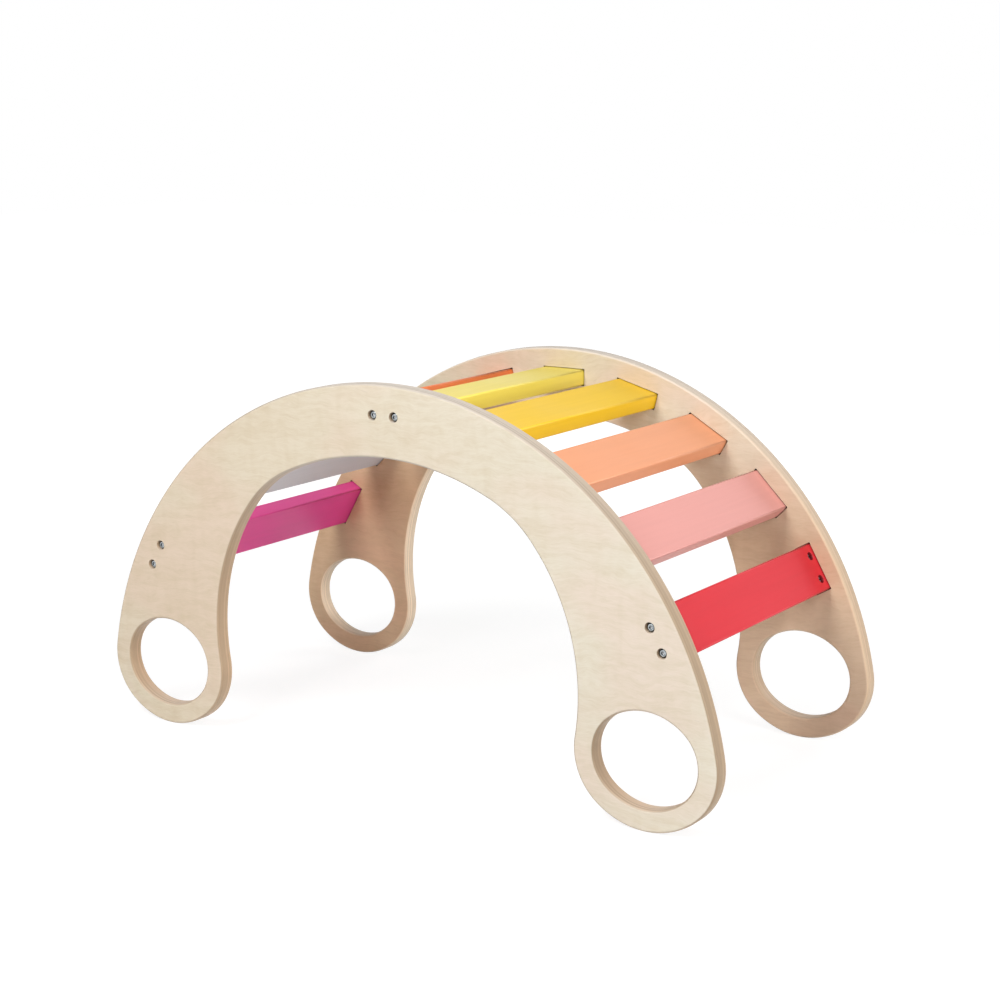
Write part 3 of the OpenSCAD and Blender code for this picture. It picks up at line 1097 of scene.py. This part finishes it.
@dataclass
class SidePanel:
    """A plywood side panel with rounded arrises, pockets and bolt holes.

    Attributes:
        side: Which panel it is.
        wood, bored, routed: Finishes of the sheet, of its holes' walls and of its pockets.
        The holes' walls are a little darker, partly end grain and partly painted shade, and
        the pockets are nearly black, painted shade for the gap round the slats' ends.
        arris_r, arris_steps: Radius of its rounded arrises, and the steps in each.
        mouth: Width of the bevel at a bolt hole's mouth.
    """

    side: Side
    wood: Material
    bored: Material
    routed: Material
    arris_r: float = 3.0 * MM
    arris_steps: int = 5
    mouth: float = 0.15 * MM

    @property
    def node(self) -> str:
        """The CAD node that the panel stands for."""
        return f"{self.side.word}_side_panel"

    @property
    def finishes(self) -> tuple[Material, ...]:
        """The panel's materials, in the order of its slots."""
        return self.wood, self.bored, self.routed

    @property
    def outer_y(self) -> float:
        """Y of the panel's outer face."""
        return self.side.value * ARCH.width / 2

    def levels(self) -> list[Span]:
        """Lists the lines along the wall, from the outer face to the inner one.

        Returns:
            Inset and Y of each line.
        """
        outside = [(self.arris_r * (1 - sine), self.arris_r * (1 - cosine))
                   for cosine, sine in quarter(self.arris_steps)]
        inside = [(inset, ARCH.panel_t - depth) for inset, depth in reversed(outside)]
        return [(inset, self.outer_y - self.side.value * depth)
                for inset, depth in outside + inside]

    def walls(self, bm: Shape, arcs: Sequence[Arc]) -> tuple[Edges, Edges]:
        """Makes the wall along a closed path.

        Args:
            bm: Where it is made.
            arcs: The path.

        Returns:
            Edges of the wall's outer and inner rims.
        """
        loops = [draw_loop(bm, arcs, inset, y) for inset, y in self.levels()]
        for low, high in zip(loops, loops[1:]):
            for face in bmesh.ops.bridge_loops(bm, edges=low + high)["faces"]:
                face.smooth = True
        return loops[0], loops[-1]

    def blank(self) -> Piece:
        """Makes the sheet with its hand holes, before the joinery.

        Returns:
            The sheet.
        """
        bm = bmesh.new()
        rims = [self.walls(bm, arcs) for arcs in
                (ARCH.panel_arcs, ARCH.hand_hole_arcs(-1), ARCH.hand_hole_arcs(1))]
        for face in (0, 1):
            edges = [edge for rim in rims for edge in rim[face]]
            filled = bmesh.ops.triangle_fill(bm, use_beauty=True, use_dissolve=False, edges=edges)
            for item in filled["geom"]:
                if isinstance(item, bmesh.types.BMFace):
                    item.smooth = False
        return make_object(bm, f"{self.node}_piece", self.finishes)

    def pockets(self) -> Piece:
        """Makes the cutter for all nine pockets.

        Returns:
            The cutter.
        """
        bm = bmesh.new()
        size = (ARCH.slat_w + 2 * ARCH.pocket_gap, ARCH.pocket_depth + 2 * SPARE,
                ARCH.slat_t + 2 * ARCH.pocket_gap)
        middle = self.side.value * (ARCH.slat_len / 2 - ARCH.pocket_depth / 2 - SPARE)
        for place in range(len(PAINTS)):
            lie = (ARCH.slat_frame(place) @ Matrix.Translation((0, middle, 0))
                   @ Matrix.Diagonal((*size, 1)))
            bmesh.ops.create_cube(bm, size=1, matrix=lie)
        # The pockets' walls and floors take the nearly black plywood: painted shade for the gap.
        for face in bm.faces:
            face.material_index = WoodSlot.ROUTED.value
        return make_object(bm, "pocket_cutter", self.finishes)

    def bolt_holes(self) -> Piece:
        """Makes the cutter for the counterbores and the holes behind them.

        Returns:
            The cutter.
        """
        wide, narrow = ARCH.counterbore_d / 2, ARCH.shank_hole_d / 2
        through = ARCH.panel_t - ARCH.pocket_depth + SPARE
        profile = ((0, SPARE), (wide + self.mouth + SPARE, SPARE), (wide, -self.mouth),
                   (wide, -ARCH.counterbore_depth), (narrow, -ARCH.counterbore_depth),
                   (narrow, -through), (0, -through))
        lies = [ARCH.bolt_frame(place, self.side, hand, 0) for place in BOLTED for hand in Hand]
        return bore_cutter(profile, lies, self.finishes)

    def build(self) -> None:
        """Makes the panel and lets it stand for its CAD node."""
        panel = self.blank()
        carve(panel, self.pockets())
        carve(panel, self.bolt_holes())
        settle(panel, self.node)


@dataclass
class Slat:
    """A painted slat, drilled for its nuts and bolts where it is bolted.

    Attributes:
        place: Its place, counted from the left end.
        mouth: Width of the bevel at a nut hole's mouth.
        edge_steps: How many steps a long edge is drawn with.
        hole_shade: Share of the paint's colour in its holes, darker as painted shade.
    """

    place: int
    mouth: float = 0.3 * MM
    edge_steps: int = 4
    hole_shade: float = 0.30

    @property
    def paint(self) -> Paint:
        """The slat's paint."""
        return PAINTS[self.place]

    @cached_property
    def finishes(self) -> tuple[Material, ...]:
        """The paint, and a darker copy of it for the slat's holes, as painted shade."""
        return (PaintFinish(self.place).material(f"{self.paint.word}_paint"),
                PaintFinish(self.place, self.hole_shade).material(f"{self.paint.word}_bored"))

    def bar(self) -> Piece:
        """Makes the plain slat with its long edges rounded.

        Returns:
            The slat.
        """
        bm = bmesh.new()
        size = (ARCH.slat_w, ARCH.slat_len, ARCH.slat_t)
        bmesh.ops.create_cube(bm, size=1, matrix=Matrix.Diagonal((*size, 1)))
        long_edges = [edge for edge in bm.edges
                      if abs(edge.verts[0].co.y - edge.verts[1].co.y) > ARCH.slat_len / 2]
        rounded = bmesh.ops.bevel(bm, geom=long_edges, offset=ARCH.slat_edge_r,
                                  segments=self.edge_steps, profile=0.5, affect="EDGES",
                                  material=-1)
        for face in rounded["faces"]:
            face.smooth = True
        bm.transform(ARCH.slat_frame(self.place))
        return make_object(bm, f"{self.paint.word}_slat_piece", self.finishes)

    def nut_lie(self, side: Side, hand: Hand) -> Matrix:
        """Finds where a nut hole is.

        Args:
            side: The panel that its bolt goes in through.
            hand: The bolt of the pair.

        Returns:
            A matrix at the hole's mouth with Z out of it.
        """
        away = ARCH.slat_len / 2 - ARCH.pocket_depth - ARCH.nut_setback
        spot = Vector((hand.value * ARCH.bolt_pitch / 2, side.value * away, 0))
        turned = Matrix.Rotation(math.radians(BOLTED[self.place].value), 4, "Y")
        return (ARCH.slat_frame(self.place) @ Matrix.Translation(spot) @ turned
                @ Matrix.Translation((0, 0, ARCH.slat_t / 2)))

    def drill(self, bar: Piece) -> None:
        """Drills a bolted slat for its nuts and then for its bolts.

        Args:
            bar: The slat.
        """
        wide, narrow = ARCH.nut_hole_d / 2, ARCH.shank_hole_d / 2
        pairs = [(side, hand) for side in Side for hand in Hand]
        nut_hole = ((0, SPARE), (wide + self.mouth + SPARE, SPARE), (wide, -self.mouth),
                    (wide, -ARCH.nut_hole_depth), (0, -ARCH.nut_hole_depth))
        carve(bar, bore_cutter(nut_hole, [self.nut_lie(*pair) for pair in pairs], self.finishes))
        deep = ARCH.pocket_depth + ARCH.nut_setback + ARCH.shank_past_nut
        bore = ((0, SPARE), (narrow, SPARE), (narrow, -deep), (0, -deep))
        end = (ARCH.width - ARCH.slat_len) / 2
        lies = [ARCH.bolt_frame(self.place, *pair, end) for pair in pairs]
        carve(bar, bore_cutter(bore, lies, self.finishes))

    def build(self) -> None:
        """Makes the slat and lets it stand for its CAD node."""
        bar = self.bar()
        if self.place in BOLTED:
            self.drill(bar)
        settle(bar, f"{self.paint.word}_slat")


@dataclass
class SocketBolt:
    """A domed bolt with a hexagon socket, sunk in its counterbore.

    Attributes:
        place: The bolted slat's place.
        side: The panel that it goes in through.
        hand: The bolt of the pair.
        zincs: Its materials: the dome's, a dark one on the head's side and the socket's walls
        as painted shade, and a pale one on the socket's floor as a painted highlight.
        spin: How far its socket has come to rest turned, in degrees.
        head_d, head_h: Diameter and height of the head.
        shank_d, length: Diameter and length of the shank.
        socket_w, socket_depth: Width of the socket over its flats, and its depth.
        tip: How much deeper the socket's middle is.
        head_bevel, socket_bevel: Widths of the bevels at the head's foot and the socket's
            mouth.
        dome_steps: How many steps the dome is drawn with.
    """

    place: int
    side: Side
    hand: Hand
    zincs: tuple[Material, ...]
    spin: float = 0.0
    head_d: float = 10.5 * MM
    head_h: float = 3.3 * MM
    shank_d: float = 6.0 * MM
    length: float = 35.0 * MM
    socket_w: float = 4.0 * MM
    socket_depth: float = 2.0 * MM
    tip: float = 0.5 * MM
    head_bevel: float = 0.3 * MM
    socket_bevel: float = 0.15 * MM
    dome_steps: int = 8

    @property
    def node(self) -> str:
        """The CAD node that the bolt stands for."""
        return f"{self.side.word}_{PAINTS[self.place].word}_{self.hand.word}_bolt"

    def profile(self) -> list[Span]:
        """Draws half the bolt, from the shank's tip to the flat round the socket.

        Returns:
            Radius and height of each point.
        """
        shank, head = self.shank_d / 2, self.head_d / 2
        taper, rim, land = self.shank_d / 8, self.head_h / 5, self.socket_w * 0.7
        dome = [(land + (head - land) * cosine, rim + (self.head_h - rim) * sine)
                for cosine, sine in quarter(self.dome_steps)]
        return [(0, -self.length), (shank - taper, -self.length), (shank, taper - self.length),
                (shank, 0), (head - self.head_bevel, 0), (head, self.head_bevel), *dome]

    def sink_socket(self, bm: Shape) -> None:
        """Closes the head with a hexagon socket.

        Args:
            bm: The bolt.
        """
        rim = [edge for edge in bm.edges if edge.is_boundary]
        corner = self.socket_w / 2 / math.cos(math.pi / 6)
        rings = []
        for radius, height in ((corner + self.socket_bevel, self.head_h),
                               (corner, self.head_h - self.socket_bevel),
                               (corner, self.head_h - self.socket_depth)):
            before = set(bm.edges)
            bmesh.ops.create_circle(bm, cap_ends=False, radius=radius, segments=6,
                                    matrix=Matrix.Translation((0, 0, height)))
            rings.append(new_edges(bm, before))
        bmesh.ops.triangle_fill(bm, use_beauty=True, use_dissolve=False, edges=rim + rings[0])
        for low, high in zip(rings, rings[1:]):
            bmesh.ops.bridge_loops(bm, edges=low + high)
        floor = bmesh.ops.edgeloop_fill(bm, edges=rings[-1])["faces"]
        for middle in bmesh.ops.poke(bm, faces=floor)["verts"]:
            middle.co.z -= self.tip

    def sort_faces(self, bm: Shape) -> None:
        """Gives each face of the head its material.

        Args:
            bm: The bolt.
        """
        dome, hollow = 0.37 * self.head_d, 0.6 * self.socket_w
        top, floor = self.head_h - 0.02 * MM, self.head_h - self.socket_depth
        # Faces far out on the head and the socket's walls take the dark painted-shade zinc; the
        # socket's floor takes the pale painted-highlight zinc.
        for face in bm.faces:
            spot = face.calc_center_median()
            if spot.xy.length > dome:
                face.material_index = ZincSlot.FLANK.value
            elif 0 < spot.z < top and spot.xy.length < hollow:
                slot = ZincSlot.SOCKET if spot.z < floor else ZincSlot.FLANK
                face.material_index = slot.value

    def build(self) -> None:
        """Makes the bolt and lets it stand for its CAD node."""
        bm = bmesh.new()
        revolve(bm, self.profile())
        self.sink_socket(bm)
        self.sort_faces(bm)
        lie = ARCH.bolt_frame(self.place, self.side, self.hand, ARCH.counterbore_depth)
        bm.transform(lie @ Matrix.Rotation(math.radians(self.spin), 4, "Z"))
        settle(make_object(bm, f"{self.node}_piece", self.zincs), self.node)


@dataclass
class Fixings:
    """The bolts and barrel nuts that hold the bolted slats.

    Attributes:
        dome: Finish of the bolts' domes.
        flank: Finish of the heads' sides and the sockets' walls, dark as painted shade and a
        painted dark reflection.
        socket: Finish of the sockets' floors, pale and barely metallic as a painted highlight.
        nut: Finish of the barrel nuts.
        spins: How far each socket has come to rest turned, in degrees.
    """

    dome: ZincFinish = ZincFinish()
    # Dark zinc: painted shade and dark reflection on the heads' sides and the sockets' walls.
    flank: ZincFinish = ZincFinish(srgb(104, 112, 116), srgb(66, 72, 75), 0.10)
    # Pale, barely metallic zinc on the sockets' floors: painted highlight.
    socket: ZincFinish = ZincFinish(srgb(236, 238, 240), srgb(214, 218, 220), 0.40, 0.2)
    nut: ZincFinish = ZincFinish(polish=0.38)
    spins: tuple[float, ...] = (12, 41, 27, 3, 52, 18, 34, 9, 47, 22, 38, 56)

    def build(self) -> None:
        """Makes the bolts and dresses the CAD model's barrel nuts."""
        zincs = (self.dome.material("zinc_bolt"), self.flank.material("zinc_bolt_flank"),
                 self.socket.material("zinc_bolt_socket"))
        dull = self.nut.material("zinc_nut")
        places = [(place, side, hand) for place in BOLTED for side in Side for hand in Hand]
        for (place, side, hand), spin in zip(places, self.spins):
            SocketBolt(place, side, hand, zincs, spin).build()
            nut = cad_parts[f"{side.word}_{PAINTS[place].word}_{hand.word}_barrel_nut"]
            for slot in nut.material_slots:
                slot.material = dull
        log.info("%d barrel nuts dressed", len(places))


# -------- studio

@dataclass(frozen=True)
class PhotoCamera:
    """The camera, fitted to the photograph's hand holes, outlines and slat edges.

    Attributes:
        azimuth: Angle of the camera round the arch, in degrees from -Y towards +X.
        elevation: Angle above the floor.
        roll: Turn about the line of sight.
        distance: Distance from the aim.
        aim: The point that it looks at.
        focal_px: Focal length in pixels of the photograph.
        centre_px: Where its axis meets the photograph, which was cropped off centre.
        sensor_mm: Width of its sensor in millimetres.
    """

    azimuth: float = 32.683
    elevation: float = 11.0112
    roll: float = 0.0778
    distance: float = 2.36698
    aim: Triple = (0.11639, 0.0, 0.33871)
    focal_px: float = 2001.35
    centre_px: Span = (565.0, 470.38)
    sensor_mm: float = 36.0

    def build(self) -> None:
        """Makes the camera and gives it to the scene."""
        lens = bpy.data.cameras.new("photo_camera")
        lens.sensor_fit = "HORIZONTAL"
        lens.sensor_width = self.sensor_mm
        lens.lens = self.focal_px * self.sensor_mm / PHOTO_PIXELS
        lens.shift_x = 0.5 - self.centre_px[0] / PHOTO_PIXELS
        lens.shift_y = self.centre_px[1] / PHOTO_PIXELS - 0.5
        camera = bpy.data.objects.new("photo_camera", lens)
        lie = Matrix.Translation(self.aim)
        for angle, axis in ((self.azimuth, "Z"), (90 - self.elevation, "X"), (self.roll, "Z")):
            lie @= Matrix.Rotation(math.radians(angle), 4, axis)
        camera.matrix_world = lie @ Matrix.Translation((0, 0, self.distance))
        bpy.context.scene.collection.objects.link(camera)
        bpy.context.scene.camera = camera


@dataclass(frozen=True)
class SoftBox:
    """A soft studio lamp.

    Attributes:
        name: Its name.
        spot: Where it stands.
        size: Length of its sides.
        power: Its power in watts.
        glossy: Whether it is seen in gloss.
        aim: Where it points.
    """

    name: str
    spot: Triple
    size: float
    power: float
    glossy: bool = True
    aim: Triple = (0, 0, 0.22)

    def build(self) -> None:
        """Makes the lamp."""
        lamp = bpy.data.lights.new(self.name, "AREA")
        lamp.shape, lamp.size, lamp.energy = "SQUARE", self.size, self.power
        made = bpy.data.objects.new(self.name, lamp)
        line = Vector(self.aim) - Vector(self.spot)
        made.location = self.spot
        made.rotation_mode = "QUATERNION"
        made.rotation_quaternion = line.to_track_quat("-Z", "Y")
        made.visible_camera = False
        made.visible_glossy = self.glossy
        bpy.context.scene.collection.objects.link(made)


@dataclass(frozen=True)
class Studio:
    """A white studio with soft light.

    Attributes:
        boxes: Its lamps.
        fill: Strength of the light from all round.
        reach: Half the floor's length.
        floor: Finish of the floor.
    """

    boxes: tuple[SoftBox, ...] = (
        SoftBox("front_light", (-0.22, -2.09, 2.36), 1.4, 71),
        SoftBox("right_light", (2.18, -1.06, 1.98), 1.2, 34),
        SoftBox("side_light", (2.98, 0.14, 0.53), 1.6, 50),
        SoftBox("back_light", (0.78, 2.78, 1.00), 1.6, 48, glossy=False),
    )
    fill: float = 0.03
    reach: float = 8.0
    floor: FloorFinish = FloorFinish()

    def sky(self) -> None:
        """Lights the world, and shows it white to the camera and in gloss."""
        world = bpy.data.worlds.new("studio")
        bpy.context.scene.world = world
        bench = NodeBench(world)
        level = bench.spread(bench.seen(), 0.0, 1.0, self.fill, 1.0)
        light = bench.node("Background", {"Color": grey(1.0), "Strength": level})
        bench.node("OutputWorld", {"Surface": light.outputs[0]})

    def ground(self) -> None:
        """Lays the floor, which isn't part of the object."""
        bm = bmesh.new()
        bmesh.ops.create_grid(bm, x_segments=1, y_segments=1, size=self.reach)
        floor = make_object(bm, "studio_floor", (self.floor.material("studio_floor"),))

    def build(self) -> None:
        """Makes the lamps, the world and the floor."""
        bpy.context.scene.view_settings.view_transform = "Standard"
        for box in self.boxes:
            box.build()
        self.sky()
        self.ground()


# -------- the whole


def main() -> None:
    """Builds the camera, the studio and each sub-assembly in turn."""
    logging.basicConfig(level=logging.INFO, format="%(name)s: %(message)s")
    PhotoCamera().build()
    Studio().build()
    wood = PlywoodFinish().material("birch_plywood")
    # Plywood a little darker in the bolt holes: partly end grain, partly painted shade.
    bored = PlywoodFinish(shade=0.95).material("bored_plywood")
    # Nearly black plywood in the pockets: painted shade for the gap round the slats' ends.
    routed = PlywoodFinish(shade=0.12).material("routed_plywood")
    for side in Side:
        SidePanel(side, wood, bored, routed).build()
    for place in range(len(PAINTS)):
        Slat(place).build()
    Fixings().build()


if __name__ == "__main__":
    main()
